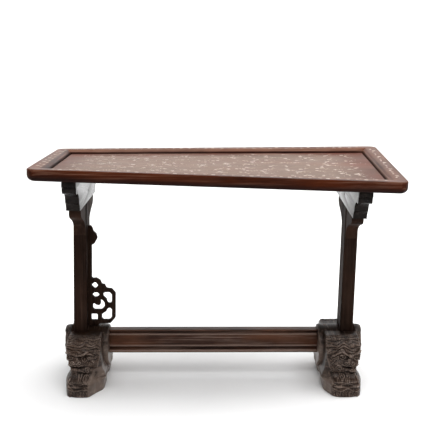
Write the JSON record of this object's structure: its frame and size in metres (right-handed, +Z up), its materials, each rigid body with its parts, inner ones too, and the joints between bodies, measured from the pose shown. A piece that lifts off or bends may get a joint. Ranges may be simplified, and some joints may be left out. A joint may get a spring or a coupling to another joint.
{
  "type": "inlaid low table",
  "caption": "Low hardwood table: tray top with shell inlay on two posts, each in a carved drum foot, joined by a low stretcher, with an openwork spandrel.",
  "frame": {"origin": "on the floor, under the middle of the top", "axes": "+X along the top to the right in the picture, +Y away from the camera, +Z up"},
  "size_m": [0.84, 0.486, 0.548],
  "materials": {
    "rim_wood": "worn satin polish",
    "panel_wood": "worn satin polish",
    "base_wood": "dark wax polish",
    "shell": "mother-of-pearl"
  },
  "bodies": {
    "root": {"front_rail": "rim_wood", "back_rail": "rim_wood", "left_rail": "rim_wood", "right_rail": "rim_wood", "top_panel": "panel_wood", "panel_inlay": "shell", "rim_inlay": "shell", "left_bearer": "base_wood", "right_bearer": "base_wood", "left_post": "base_wood", "right_post": "base_wood", "left_front_bracket": "base_wood", "right_front_bracket": "base_wood", "left_back_bracket": "base_wood", "right_back_bracket": "base_wood", "left_foot": "base_wood", "right_foot": "base_wood", "stretcher": "base_wood", "left_spandrel": "base_wood", "bearer_pegs": "base_wood", "foot_pegs": "base_wood", "stretcher_pegs": "base_wood", "panel_batten": "base_wood"}
  },
  "joints": []
}
